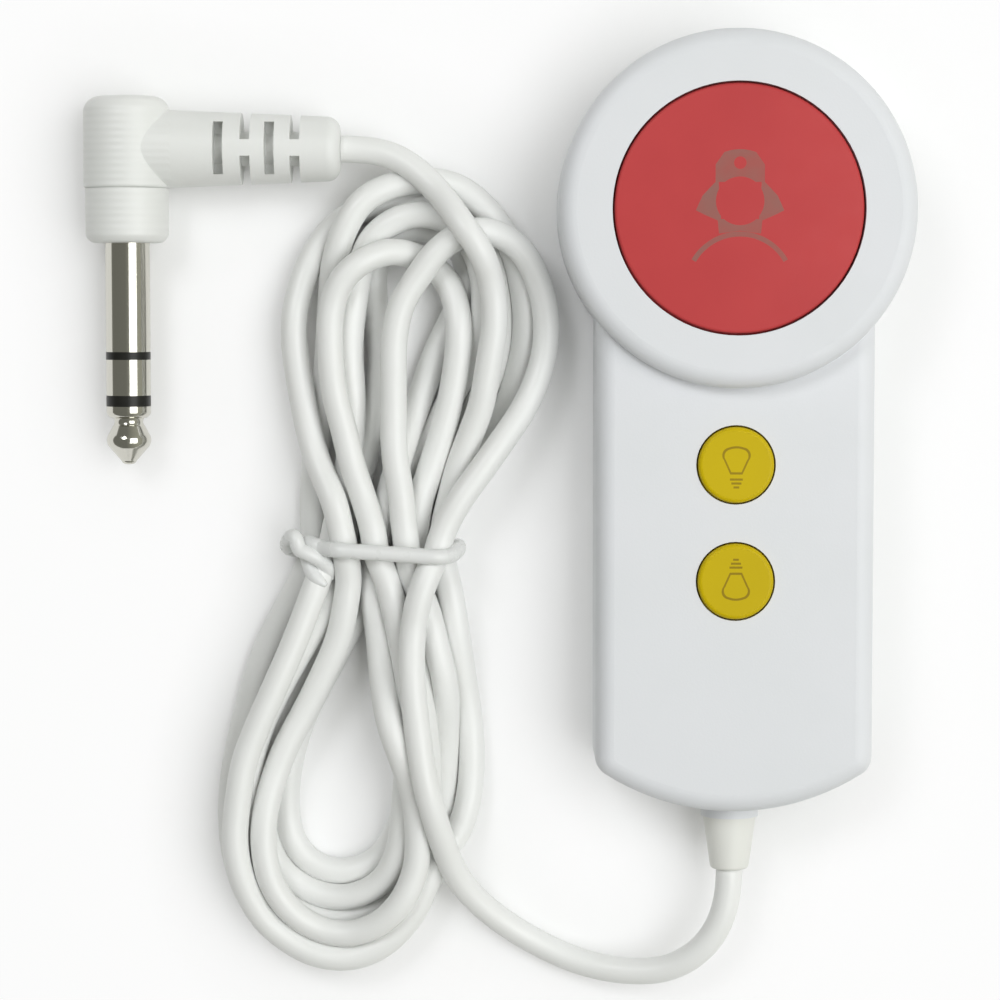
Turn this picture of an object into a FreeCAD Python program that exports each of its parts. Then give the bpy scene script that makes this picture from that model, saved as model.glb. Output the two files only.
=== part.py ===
import FreeCAD, Part
import math
import os

# Pear-shaped patient call button: a round head with a big push cap, a straight body with two lamp buttons,
# and a thin cord, tied in a hank, that ends in a right-angle three-pole jack plug.
# Millimetres. The handset lies on its back: +Y points to the round head, +Z out of the buttons.
# The origin is the middle of the handset's footprint.

V = FreeCAD.Vector

# Handset outline, seen from above
head_diameter = 49.6
body_width = 39.0
shell_length = 109.4
tail_radius = 33.5
body_corner_radius = 3.0
least_corner_radius = 0.5
neck_length = 1.6
neck_diameter = 8.2

# Handset heights and walls
head_height = 21.0
body_height = 17.0
parting_height = 8.0
wall = 2.0
back_edge_radius = 3.0
body_edge_radius = 2.6
head_edge_radius = 2.4
lip_height = 1.2
lip_width = 0.9
lip_gap = 0.1

# Call button cap
cap_diameter = 34.3
cap_gap = 0.3
cap_dome = 0.8
cap_top_thickness = 1.6
cap_skirt_wall = 1.5
cap_flange_width = 1.5
cap_flange_thickness = 1.2
cap_edge_radius = 0.4
cap_post_diameter = 6.0
call_travel = 0.8

# Lamp button caps
lamp_cap_diameter = 10.6
lamp_cap_gap = 0.25
lamp_cap_proud = 0.7
lamp_cap_top_thickness = 1.5
lamp_cap_wall = 1.2
lamp_flange_width = 1.0
lamp_flange_thickness = 1.0
lamp_edge_radius = 0.6
lamp_post_diameter = 3.2
lamp_travel = 0.4
lamp_offset = 35.5
lamp_pitch = 16.3

# Guide rings under the front cover, and the rest gap under the roof
guide_gap = 0.35
guide_wall = 1.1
guide_depth = 3.0
rest_gap = 0.1

# Circuit board
board_standoff = 3.5
board_thickness = 1.6
board_gap = 0.5
board_end_gap = 15.4
board_post_diameter = 5.0
board_screw_diameter = 2.0
board_screw_head_diameter = 3.8
board_screw_head_height = 1.3
board_screw_length = 4.6
head_board_screw_offset = 14.5
tail_board_screw_x = 12.5
tail_board_screw_offset = 7.6

# Switches
call_switch_width = 12.0
call_switch_height = 4.3
call_plunger_diameter = 6.8
call_plunger_rise = 3.0
lamp_switch_width = 6.0
lamp_switch_height = 3.5
lamp_plunger_diameter = 3.5
lamp_plunger_rise = 1.5
plunger_gap = 0.1
plunger_grip = 1.4
plunger_edge_radius = 0.3
switch_edge_radius = 0.4
switch_leg_reach = 1.0
switch_leg_width = 1.0
switch_leg_thickness = 0.3

# Return spring of the call button
spring_mean_diameter = 18.4
spring_wire = 0.7
spring_turns = 5
spring_ring_gap = 0.3
spring_ring_wall = 0.9
spring_ring_depth = 1.0

# Cover screws
cover_screw_diameter = 2.6
cover_screw_head_diameter = 4.8
cover_screw_head_height = 1.8
cover_screw_length = 9.5
cover_screw_seat = 3.4
boss_wall = 1.5
screw_gap = 0.05
head_boss_distance = 18.0
head_boss_angle = 45.0
tail_boss_x = 13.5
tail_boss_offset = 12.4
boss_rib_width = 1.6
recess_width = 0.7
recess_depth = 1.0
screw_edge_radius = 0.4

# Cord, its clamp and its strain relief
cord_diameter = 3.8
relief_length = 7.7
relief_root_diameter = 7.6
relief_tip_diameter = 5.4
relief_neck_diameter = 6.0
relief_flange_diameter = 9.0
relief_flange_thickness = 1.5
relief_flange_gap = 0.4
relief_edge_radius = 0.5
clamp_offset = 6.4
clamp_length = 4.0
clamp_width = 16.0
clamp_bar_height = 3.0
clamp_bite = 0.3
clamp_edge_radius = 0.5
clamp_screw_x = 5.4
clamp_screw_grip = 4.0
jacket_end_offset = 10.5
conductor_diameter = 1.0
conductor_ring_radius = 0.95
pad_pitch = 3.0
pad_offset = 2.6
conductor_hump = 2.6
conductor_lead_in = 1.6
conductor_level_run = 3.0
resistor_diameter = 2.4
resistor_length = 6.3
resistor_lead_diameter = 0.6
resistor_span = 10.0
resistor_pitch = 3.6

# Printed symbols, as thin inlays
print_depth = 0.2
nurse_print_height = 15.4
lamp_print_height = 5.9

# Jack plug: its pin points to -Y, its cord tail to +X
plug_x = -85.9
plug_top_y = 46.9
plug_housing_diameter = 12.2
plug_housing_length = 13.0
plug_top_radius = 2.3
plug_joint_radius = 0.5
plug_collar_diameter = 11.8
plug_collar_length = 7.7
plug_collar_radius = 1.5
plug_tail_drop = 7.4
plug_tail_length = 30.4
plug_tail_root_diameter = 11.0
plug_tail_end_diameter = 9.0
plug_tail_edge_radius = 2.0
plug_core_diameter = 4.8
slot_width = 1.4
slot_web = 2.3
slot_rail = 0.8
slot_offsets = (12.6, 16.4, 19.8, 23.4)
plug_cavity_diameter = 8.4
plug_cavity_length = 9.0

# Three-pole contact, lengths measured from the shoulder of the sleeve
pin_diameter = 6.35
sleeve_length = 15.45
sleeve_bore_diameter = 4.4
sleeve_flange_diameter = 8.6
sleeve_flange_setback = 1.2
sleeve_neck_diameter = 7.2
insulator_overhang = 0.6
ring_start = 16.55
ring_end = 21.65
ring_bore_diameter = 2.6
ring_tube_diameter = 3.6
tip_start = 23.2
tip_shank_end = 24.1
tip_groove = 25.4
tip_groove_diameter = 4.1
tip_ball = 28.1
tip_end = 31.5
tip_rod_diameter = 1.8
contact_gap = 0.03
sleeve_tail_length = 9.5
sleeve_tail_diameter = 5.8
ring_tail_length = 12.0
tip_tail_length = 16.0

# Each bend takes this share of the shorter run beside it
corner_share = 0.45

# Free cord: hand-chosen points, (x, y, z) of the centre line
lead_points = [
    (0.0, -68.0, 8.0), (-2.6, -74.3, 7.3), (-7.9, -78.5, 5.8), (-14.7, -79.3, 4.1), (-21.6, -78.1, 2.6),
    (-28.2, -75.0, 1.9), (-34.2, -70.8, 2.1), (-39.2, -65.2, 2.6),
]
plug_lead_points = [(-50.8, 39.5, 6.1), (-45.9, 37.6, 6.6), (-41.6, 33.5, 7.2)]

# Hank: outline of the tied turns and of the see-through eye of the lower loops
hank_height = 9.6
hank_edge_radius = 2.6
hank_outline = [
    (-43.0, 38.6), (-31.6, 31.6), (-24.0, 22.4), (-23.9, 9.6), (-29.6, -3.4), (-37.8, -15.2), (-38.2, -27.0),
    (-34.6, -44.6), (-35.1, -60.2), (-44.2, -72.0), (-52.6, -79.0), (-63.8, -78.6), (-71.6, -71.0),
    (-74.4, -58.6), (-70.6, -41.0), (-63.4, -23.6), (-61.8, -11.0), (-63.6, 2.6), (-65.6, 16.2),
    (-60.4, 27.8), (-51.6, 35.4),
]
eye_outline = [
    (-53.2, -30.8), (-49.6, -42.0), (-47.2, -52.6), (-50.2, -61.6), (-58.0, -64.4), (-62.8, -57.4),
    (-60.4, -45.6), (-56.6, -36.6),
]

# Tie around the waist of the hank
tie_diameter = 2.2
tie_y = -17.3
tie_left_x = -62.2
tie_right_x = -38.2
tie_knot_length = 4.2
tie_knot_diameter = 4.6
tie_knot_radius = 2.0

# Places worked out from the sizes above
head_radius = head_diameter / 2
head_y = (shell_length + neck_length) / 2 - head_radius
tail_y = head_y + head_radius - shell_length
neck_end_y = tail_y - neck_length
head_roof = head_height - wall
body_roof = body_height - wall
board_bottom = wall + board_standoff
board_top = board_bottom + board_thickness
board_end_y = tail_y + board_end_gap
lamp_upper_y = head_y - lamp_offset
lamp_lower_y = lamp_upper_y - lamp_pitch
tail_boss_y = tail_y + tail_boss_offset
cord_radius = cord_diameter / 2
cord_z = parting_height
relief_end_y = neck_end_y - relief_length
flange_face_y = tail_y + wall + relief_flange_gap
flange_back_y = flange_face_y + relief_flange_thickness
clamp_y = tail_y + clamp_offset
jacket_end_y = tail_y + jacket_end_offset
pad_y = board_end_y + pad_offset
cap_radius = cap_diameter / 2
cap_under = head_height - cap_top_thickness
cap_flange_radius = cap_radius + cap_flange_width
cap_flange_top = head_roof - rest_gap
cap_flange_bottom = cap_flange_top - cap_flange_thickness
call_plunger_top = board_top + call_switch_height + call_plunger_rise
lamp_cap_radius = lamp_cap_diameter / 2
lamp_cap_top = body_height + lamp_cap_proud
lamp_flange_radius = lamp_cap_radius + lamp_flange_width
lamp_flange_top = body_roof - rest_gap
lamp_flange_bottom = lamp_flange_top - lamp_flange_thickness
lamp_plunger_top = board_top + lamp_switch_height + lamp_plunger_rise
plug_radius = plug_housing_diameter / 2
plug_z = plug_radius
plug_joint_y = plug_top_y - plug_housing_length
shoulder_y = plug_joint_y - plug_collar_length
plug_tail_y = plug_top_y - plug_tail_drop
plug_tail_end_x = plug_x + plug_tail_length
pin_radius = pin_diameter / 2

boss_radius = cover_screw_diameter / 2 + boss_wall
head_boss_x = head_boss_distance * math.cos(math.radians(head_boss_angle))
head_boss_y = head_y + head_boss_distance * math.sin(math.radians(head_boss_angle))
cover_screw_places = [
    (-head_boss_x, head_boss_y), (head_boss_x, head_boss_y),
    (-tail_boss_x, tail_boss_y), (tail_boss_x, tail_boss_y),
]
tail_board_screw_y = board_end_y + tail_board_screw_offset
board_screw_places = [
    (0.0, head_y + head_board_screw_offset),
    (-tail_board_screw_x, tail_board_screw_y), (tail_board_screw_x, tail_board_screw_y),
]


def box(x0, x1, y0, y1, z0, z1):
    return Part.makeBox(x1 - x0, y1 - y0, z1 - z0, V(x0, y0, z0))


def upright(radius, x, y, z0, z1):
    """A cylinder along Z."""
    return Part.makeCylinder(radius, z1 - z0, V(x, y, z0))


def along_y(radius, x, z, y0, y1):
    """A cylinder along Y."""
    return Part.makeCylinder(radius, y1 - y0, V(x, y0, z), V(0, 1, 0))


def along_x(radius, y, z, x0, x1):
    """A cylinder along X."""
    return Part.makeCylinder(radius, x1 - x0, V(x0, y, z), V(1, 0, 0))


def rod(radius, start, end):
    """A cylinder between two points."""
    direction = end - start
    return Part.makeCylinder(radius, direction.Length, start, direction)


def joined(shapes):
    """One solid, or a group where they lie apart."""
    first, rest = shapes[0], list(shapes[1:])
    return first.fuse(rest).removeSplitter() if rest else first


def turned(outline, centre, axis, out):
    """A solid of revolution. Each outline point is (distance from the axis, distance along it).

    A point with a third value, a pair, is reached by an arc through that pair.
    """
    def place(pair):
        return centre + out * pair[0] + axis * pair[1]

    edges = []
    for before, after in zip(outline, outline[1:] + outline[:1]):
        if len(after) == 3:
            edges.append(Part.Arc(place(before), place(after[2]), place(after)).toShape())
        else:
            edges.append(Part.LineSegment(place(before), place(after)).toShape())
    face = Part.Face(Part.Wire(edges))
    return face.revolve(centre, axis, 360)


def rounded(solid, radius, chosen):
    """The solid with the edges that pass the test rounded."""
    return solid.makeFillet(radius, [edge for edge in solid.Edges if chosen(edge)])


def at_height(edge, z):
    return abs(edge.BoundBox.ZMin - z) < 1e-4 and abs(edge.BoundBox.ZMax - z) < 1e-4


def is_round(edge, radius):
    return hasattr(edge.Curve, "Radius") and abs(edge.Curve.Radius - radius) < 1e-4


def body_block(inset, z0, z1):
    """The straight body with its curved tail, its outline moved inwards by inset."""
    half = body_width / 2 - inset
    radius = tail_radius - inset
    centre_y = tail_y + tail_radius
    corner_y = centre_y - math.sqrt(radius ** 2 - half ** 2)
    top_left, top_right = V(-half, head_y, z0), V(half, head_y, z0)
    left, right = V(-half, corner_y, z0), V(half, corner_y, z0)
    outline = Part.Wire([
        Part.LineSegment(top_right, top_left).toShape(),
        Part.LineSegment(top_left, left).toShape(),
        Part.Arc(left, V(0, centre_y - radius, z0), right).toShape(),
        Part.LineSegment(right, top_right).toShape(),
    ])
    block = Part.Face(outline).extrude(V(0, 0, z1 - z0))
    corner = max(body_corner_radius - inset, least_corner_radius)
    return rounded(block, corner,
                   lambda edge: edge.BoundBox.ZLength > 0.1 and edge.BoundBox.YMax < head_y - 1)


def plan(inset, z0, z1):
    """The handset's whole outline as a straight-sided block."""
    return joined([upright(head_radius - inset, 0, head_y, z0, z1), body_block(inset, z0, z1)])


def casing(inset):
    """The handset's outer form, or with an inset the space inside its walls."""
    top, body_top = head_height - inset, body_height - inset
    head = upright(head_radius - inset, 0, head_y, inset, top)
    head = rounded(head, back_edge_radius - inset, lambda edge: at_height(edge, inset))
    head = rounded(head, head_edge_radius - inset, lambda edge: at_height(edge, top))
    body = body_block(inset, inset, body_top)
    low = [e for e in body.Edges if at_height(e, inset) and e.BoundBox.YMin < head_y - 1]
    body = body.makeFillet(back_edge_radius - inset, low)
    high = [e for e in body.Edges if at_height(e, body_top) and e.BoundBox.YMin < head_y - 1]
    body = body.makeFillet(body_edge_radius - inset, high)
    return joined([head, body])


def covers():
    """Back and front covers: a shell split at the parting height, with a lip inside the joint."""
    outer, inner = casing(0), casing(wall)
    neck = along_y(neck_diameter / 2, 0, cord_z, neck_end_y, tail_y + wall)
    shell = joined([outer, neck.cut(inner)]).cut(inner)
    relief_hole = relief_neck_diameter / 2 + contact_gap
    shell = shell.cut(along_y(relief_hole, 0, cord_z, neck_end_y - 1, tail_y + 2 * wall))
    below = box(-head_diameter, head_diameter, -shell_length, shell_length, -1, parting_height)
    lip_zone = plan(wall - lip_width, parting_height, parting_height + lip_height)
    groove = plan(wall - lip_width - lip_gap, parting_height, parting_height + lip_height + lip_gap)
    gland = box(-neck_diameter / 2, neck_diameter / 2, neck_end_y, tail_y + 2 * wall, 0, head_height)
    lip = shell.common(lip_zone).cut(gland)
    back = joined([shell.common(below), lip])
    front = shell.cut(below).cut(groove.cut(gland))
    return back, front


def cross_recess(x, y, z0, z1):
    """The cross-shaped driver recess of a screw head."""
    arm = 3 * recess_width / 2
    return joined([
        box(x - arm, x + arm, y - recess_width / 2, y + recess_width / 2, z0, z1),
        box(x - recess_width / 2, x + recess_width / 2, y - arm, y + arm, z0, z1),
    ])


def make_back_cover(shell):
    seats, holes = [], []
    small_hole = board_screw_diameter / 2 + screw_gap
    for x, y in cover_screw_places:
        seats.append(upright(cover_screw_head_diameter / 2 + wall / 2, x, y, wall / 2, parting_height))
        holes.append(upright(cover_screw_head_diameter / 2 + screw_gap, x, y, -1, cover_screw_seat))
        holes.append(upright(cover_screw_diameter / 2 + screw_gap, x, y, 0, parting_height + 1))
    for x, y in board_screw_places:
        seats.append(upright(board_post_diameter / 2, x, y, wall / 2, board_bottom))
        holes.append(upright(small_hole, x, y, wall, board_bottom + 1))
    saddle_top = cord_z - clamp_bite
    y0, y1 = clamp_y - clamp_length / 2, clamp_y + clamp_length / 2
    seats.append(box(-clamp_width / 2, clamp_width / 2, y0, y1, wall / 2, saddle_top))
    holes.append(along_y(cord_radius, 0, cord_z, y0 - 1, y1 + 1))
    for side in (-1, 1):
        holes.append(upright(small_hole, side * clamp_screw_x, clamp_y, wall, cord_z))
    return joined([shell] + seats).cut(holes)


def make_front_cover(shell):
    """The front cover with its button holes, guide rings and screw bosses."""
    cap_hole = cap_radius + cap_gap
    lamp_hole = lamp_cap_radius + lamp_cap_gap
    call_guide = cap_flange_radius + guide_gap
    lamp_guide = lamp_flange_radius + guide_gap
    adds = [upright(call_guide + guide_wall, 0, head_y, head_roof - guide_depth, head_roof + wall / 2)]
    cuts = [
        upright(call_guide, 0, head_y, head_roof - guide_depth, head_roof),
        upright(cap_hole, 0, head_y, head_roof - 1, head_height + 1),
    ]
    for y in (lamp_upper_y, lamp_lower_y):
        adds.append(upright(lamp_guide + guide_wall, 0, y, body_roof - guide_depth, body_roof + wall / 2))
        cuts.append(upright(lamp_guide, 0, y, body_roof - guide_depth - 1, body_roof))
        cuts.append(upright(lamp_hole, 0, y, body_roof - 1, body_height + 1))
    head_boss_top = cap_flange_bottom - call_travel - guide_gap
    for x, y in cover_screw_places[:2]:
        adds.append(upright(boss_radius, x, y, parting_height, head_boss_top))
        rib = box(head_boss_distance, head_radius - wall / 2, -boss_rib_width / 2, boss_rib_width / 2,
                  parting_height + lip_height + 2 * lip_gap, head_boss_top)
        rib.rotate(V(0, 0, 0), V(0, 0, 1), math.degrees(math.atan2(y - head_y, x)))
        rib.translate(V(0, head_y, 0))
        adds.append(rib)
    for x, y in cover_screw_places[2:]:
        adds.append(upright(boss_radius, x, y, parting_height, body_roof + wall / 2))
    for x, y in cover_screw_places:
        top = cover_screw_seat + cover_screw_length + 1
        cuts.append(upright(cover_screw_diameter / 2 + screw_gap, x, y, 0, top))
    return joined([shell] + adds).cut(cuts)


def make_cover_screws():
    screws = []
    for x, y in cover_screw_places:
        low, end = cover_screw_seat - cover_screw_head_height, cover_screw_seat + cover_screw_length
        head = upright(cover_screw_head_diameter / 2, x, y, low, cover_screw_seat)
        head = rounded(head, screw_edge_radius, lambda edge: at_height(edge, low))
        head = head.cut(cross_recess(x, y, low, low + recess_depth))
        screws.append(joined([head, upright(cover_screw_diameter / 2, x, y, cover_screw_seat, end)]))
    return Part.makeCompound(screws)


def small_screw(x, y, seat, length):
    """A pan-head screw driven down from above."""
    top = seat + board_screw_head_height
    head = upright(board_screw_head_diameter / 2, x, y, seat, top)
    head = rounded(head, screw_edge_radius, lambda edge: at_height(edge, top))
    head = head.cut(cross_recess(x, y, top - recess_depth / 2, top))
    return joined([head, upright(board_screw_diameter / 2, x, y, seat - length, seat)])


def make_board():
    board = plan(wall + board_gap, board_bottom, board_top)
    board = board.cut(box(-body_width, body_width, -shell_length, board_end_y, 0, head_height))
    holes = []
    for x, y in cover_screw_places:
        holes.append(upright(cover_screw_head_diameter / 2 + wall / 2 + board_gap, x, y, 0, parting_height))
    for x, y in board_screw_places:
        holes.append(upright(board_screw_diameter / 2 + screw_gap, x, y, 0, parting_height))
    return board.cut(holes)


def make_switch(width, height, plunger_diameter, travel, y):
    """A push switch: a square housing with four legs on the board and a blind hole for its plunger."""
    half = width / 2
    top = board_top + height
    housing = rounded(box(-half, half, y - half, y + half, board_top, top), switch_edge_radius,
                      lambda edge: at_height(edge, top))
    legs = []
    for side in (-1, 1):
        for place in (-1, 1):
            near, far = sorted((side * (half - switch_leg_thickness), side * (half + switch_leg_reach)))
            middle = y + place * half / 2
            legs.append(box(near, far, middle - switch_leg_width / 2, middle + switch_leg_width / 2,
                            board_top, board_top + switch_leg_thickness))
    depth = plunger_grip + travel + 2 * plunger_gap
    hole = upright(plunger_diameter / 2 + plunger_gap, 0, y, top - depth, top + 1)
    return joined([housing] + legs).cut(hole)


def make_plunger(diameter, height, rise, y):
    top = board_top + height + rise
    plunger = upright(diameter / 2, 0, y, board_top + height - plunger_grip, top)
    return rounded(plunger, plunger_edge_radius, lambda edge: at_height(edge, top))


def make_call_cap():
    """The big domed cap: skirt, flange under the roof, centre post and spring ring."""
    dome_radius = (cap_radius ** 2 + cap_dome ** 2) / (2 * cap_dome)
    dome = Part.makeSphere(dome_radius, V(0, head_y, head_height + cap_dome - dome_radius), V(1, 0, 0))
    ring_outer = (spring_mean_diameter - spring_wire) / 2 - spring_ring_gap
    ring_inner = ring_outer - spring_ring_wall
    post = cap_post_diameter / 2
    outline = [
        (0, call_plunger_top), (post, call_plunger_top), (post, cap_under),
        (ring_inner, cap_under), (ring_inner, cap_under - spring_ring_depth),
        (ring_outer, cap_under - spring_ring_depth), (ring_outer, cap_under),
        (cap_radius - cap_skirt_wall, cap_under), (cap_radius - cap_skirt_wall, cap_flange_bottom),
        (cap_flange_radius, cap_flange_bottom), (cap_flange_radius, cap_flange_top),
        (cap_radius, cap_flange_top), (cap_radius, head_height + cap_dome), (0, head_height + cap_dome),
    ]
    cap = turned(outline, V(0, head_y, 0), V(0, 0, 1), V(1, 0, 0)).common(dome)
    return rounded(cap, cap_edge_radius,
                   lambda edge: at_height(edge, head_height) and is_round(edge, cap_radius))


def make_lamp_cap(y):
    post = lamp_post_diameter / 2
    inner = lamp_cap_radius - lamp_cap_wall
    under = lamp_cap_top - lamp_cap_top_thickness
    outline = [
        (0, lamp_plunger_top), (post, lamp_plunger_top), (post, under), (inner, under),
        (inner, lamp_flange_bottom), (lamp_flange_radius, lamp_flange_bottom),
        (lamp_flange_radius, lamp_flange_top), (lamp_cap_radius, lamp_flange_top),
        (lamp_cap_radius, lamp_cap_top), (0, lamp_cap_top),
    ]
    cap = turned(outline, V(0, y, 0), V(0, 0, 1), V(1, 0, 0))
    return rounded(cap, lamp_edge_radius,
                   lambda edge: at_height(edge, lamp_cap_top) and is_round(edge, lamp_cap_radius))


def slab(points, z0, z1):
    """A flat-sided prism over a closed outline. A third value in a point is the middle of an arc to it."""
    edges = []
    for before, after in zip(points, points[1:] + points[:1]):
        start, end = V(before[0], before[1], z0), V(after[0], after[1], z0)
        if len(after) == 3:
            edges.append(Part.Arc(start, V(after[2][0], after[2][1], z0), end).toShape())
        else:
            edges.append(Part.LineSegment(start, end).toShape())
    return Part.Face(Part.Wire(edges)).extrude(V(0, 0, z1 - z0))


def mirrored(solid):
    return solid.mirror(V(0, 0, 0), V(1, 0, 0))


def nurse_figure():
    """A plain nurse: cap with a round badge, bobbed hair about an open face, bow and shoulders."""
    z0, z1 = 0, 2 * head_height
    face = upright(3.35, 0, 1.0, z0 - 1, z1 + 1)
    cap = slab([(-3.4, 3.6), (3.4, 3.6), (3.4, 6.0), (2.2, 7.7), (-2.2, 7.7, (0, 8.1)), (-3.4, 6.0)], z0, z1)
    cap = cap.cut([face, upright(0.86, 0, 6.25, z0 - 1, z1 + 1)])
    hair = slab([(-3.0, 4.0), (-4.0, 3.0), (-5.2, 1.7), (-6.1, -0.3), (-4.9, -0.9), (-2.6, -1.9)], z0, z1).cut(face)
    bow = slab([(-3.1, -1.5), (0, -1.5), (0, -3.1), (-2.9, -3.5)], z0, z1).cut(face)
    shoulder_y, outer, inner = -10.9, 7.7, 7.0
    reach, drop = math.cos(math.radians(30)), math.sin(math.radians(30))
    lean, rise = math.cos(math.radians(62)), math.sin(math.radians(62))
    shoulder = slab([
        (0, shoulder_y + outer), (0, shoulder_y + inner),
        (-inner * reach, shoulder_y + inner * drop, (-inner * lean, shoulder_y + inner * rise)),
        (-outer * reach, shoulder_y + outer * drop),
        (0, shoulder_y + outer, (-outer * lean, shoulder_y + outer * rise)),
    ][1:], z0, z1)
    return joined([cap, hair, mirrored(hair), bow, mirrored(bow), shoulder, mirrored(shoulder)])


def lamp_figure():
    """A plain light bulb in outline, with three short lines under its neck."""
    z0, z1 = 0, 2 * body_height
    bulb_y, stroke, hollow = 0.7, 0.3, 0.84
    half = [(-0.85, -1.3), (-1.75, 0.7), (-1.1, 2.45, (-1.9, 1.8))]

    def bulb(share):
        def place(x, y):
            return share * x, bulb_y + share * (y - bulb_y)

        (neck, low), (side, high), (crown, top, (bulge_x, bulge_y)) = half
        return slab([
            place(neck, low), place(side, high), (*place(crown, top), place(bulge_x, bulge_y)),
            (*place(-crown, top), place(0, top + 0.2)), (*place(-side, high), place(-bulge_x, bulge_y)),
            place(-neck, low),
        ], z0, z1)

    pieces = [bulb(1).cut(bulb(hollow))]
    for y, reach in ((-2.0, 0.9), (-2.55, 0.7), (-3.1, 0.4)):
        pieces.append(box(-reach, reach, y - stroke / 2, y + stroke / 2, z0, z1))
    return Part.makeCompound(pieces)


def inlaid(cap, figure, height, y, turn=0):
    """The cap with its surface taken out where it is printed, and the print, at its height and place."""
    figure.scale(height / figure.BoundBox.YLength)
    figure.rotate(V(0, 0, 0), V(0, 0, 1), turn)
    figure.translate(V(0, y, 0))
    lowered = cap.copy()
    lowered.translate(V(0, 0, -print_depth))
    print_layer = figure.common(cap).cut(lowered)
    return cap.cut(print_layer), print_layer


def make_spring():
    """A plain compression coil between the board and the underside of the call cap."""
    low = board_top + spring_wire / 2
    rise = cap_under - spring_wire / 2 - low
    radius = spring_mean_diameter / 2
    helix = Part.makeHelix(rise / spring_turns, rise, radius)
    helix.translate(V(0, head_y, low))
    tangent = V(0, 2 * math.pi * radius, rise / spring_turns)
    section = Part.Wire(Part.makeCircle(spring_wire / 2, V(radius, head_y, low), tangent))
    coil = Part.Wire(helix).makePipeShell([section], True, True)
    return coil.common(upright(head_radius, 0, head_y, board_top, cap_under))


def make_resistors():
    """Two resistors across the board, midway between the lamp switches."""
    group = []
    for side in (-1, 1):
        y = (lamp_upper_y + lamp_lower_y + side * resistor_pitch) / 2
        z, reach = board_top + resistor_diameter / 2, resistor_span / 2
        body = along_x(resistor_diameter / 2, y, z, -resistor_length / 2, resistor_length / 2)
        wire = tube([V(-reach, y, board_top), V(-reach, y, z), V(reach, y, z), V(reach, y, board_top)],
                    resistor_lead_diameter)
        group.append(joined([body, wire]))
    return Part.makeCompound(group)


def corner_arc(before, corner, after):
    """Start, middle and end of the arc that rounds a corner, and its radius."""
    back, on = before - corner, after - corner
    reach = corner_share * min(back.Length, on.Length)
    back.normalize()
    on.normalize()
    half_turn = (math.pi - back.getAngle(on)) / 2
    radius = reach / math.tan(half_turn)
    inward = back + on
    inward.normalize()
    middle = corner + inward * (radius / math.cos(half_turn) - radius)
    return corner + back * reach, middle, corner + on * reach, radius


def bent_path(points):
    """Straight runs joined by tangent arcs, and the arcs' radii."""
    edges, radii = [], []
    start = points[0]
    for before, corner, after in zip(points, points[1:], points[2:]):
        enter, middle, leave, radius = corner_arc(before, corner, after)
        edges.append(Part.LineSegment(start, enter).toShape())
        edges.append(Part.Arc(enter, middle, leave).toShape())
        radii.append(radius)
        start = leave
    edges.append(Part.LineSegment(start, points[-1]).toShape())
    return Part.Wire(edges), radii


def tube(points, diameter):
    """A round tube along a bent path, its volume checked against its section times its length."""
    path, radii = bent_path(points)
    section = Part.Wire(Part.makeCircle(diameter / 2, points[0], points[1] - points[0]))
    solid = path.makePipeShell([section], True, False)
    expected = math.pi * diameter ** 2 / 4 * path.Length
    print("tube", round(path.Length, 1), "long, least radius", round(min(radii), 1),
          "volume ratio", round(solid.Volume / expected, 4))
    return solid


def make_conductors():
    """Three insulated wires from the jacket's end, over a small hump, down to their pads."""
    group = []
    for step, angle in ((-1, 210), (0, 90), (1, 330)):
        x = conductor_ring_radius * math.cos(math.radians(angle))
        z = cord_z + conductor_ring_radius * math.sin(math.radians(angle))
        pad_x = step * pad_pitch
        top = board_top + conductor_hump
        points = [V(x, jacket_end_y, z), V(x, jacket_end_y + conductor_lead_in, z),
                  V(pad_x, pad_y - conductor_level_run, top),
                  V(pad_x, pad_y, top), V(pad_x, pad_y, board_top)]
        group.append(tube(points, conductor_diameter))
    return Part.makeCompound(group)


def make_relief():
    """The soft strain relief: flange and neck held in the covers, then a short cone over the cord."""
    flange = relief_flange_diameter / 2
    neck, bore = relief_neck_diameter / 2, cord_radius
    root, tip = relief_root_diameter / 2, relief_tip_diameter / 2
    outline = [
        (bore, flange_back_y), (flange, flange_back_y), (flange, flange_face_y), (neck, flange_face_y),
        (neck, neck_end_y), (root, neck_end_y), (tip, relief_end_y), (bore, relief_end_y),
    ]
    relief = turned(outline, V(0, 0, cord_z), V(0, 1, 0), V(1, 0, 0))
    return rounded(relief, relief_edge_radius,
                   lambda edge: is_round(edge, tip) and abs(edge.BoundBox.YMax - relief_end_y) < 1e-4)


def make_clamp():
    y0, y1 = clamp_y - clamp_length / 2, clamp_y + clamp_length / 2
    low = cord_z + clamp_bite
    bar = box(-clamp_width / 2, clamp_width / 2, y0, y1, low, low + clamp_bar_height)
    bar = rounded(bar, clamp_edge_radius, lambda edge: at_height(edge, low + clamp_bar_height))
    holes = [along_y(cord_radius, 0, cord_z, y0 - 1, y1 + 1)]
    small_hole = board_screw_diameter / 2 + screw_gap
    for side in (-1, 1):
        holes.append(upright(small_hole, side * clamp_screw_x, clamp_y, 0, head_height))
    return bar.cut(holes)


def make_clamp_screws():
    seat = cord_z + clamp_bite + clamp_bar_height
    length = clamp_bar_height + 2 * clamp_bite + clamp_screw_grip
    return Part.makeCompound([small_screw(side * clamp_screw_x, clamp_y, seat, length) for side in (-1, 1)])


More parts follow.
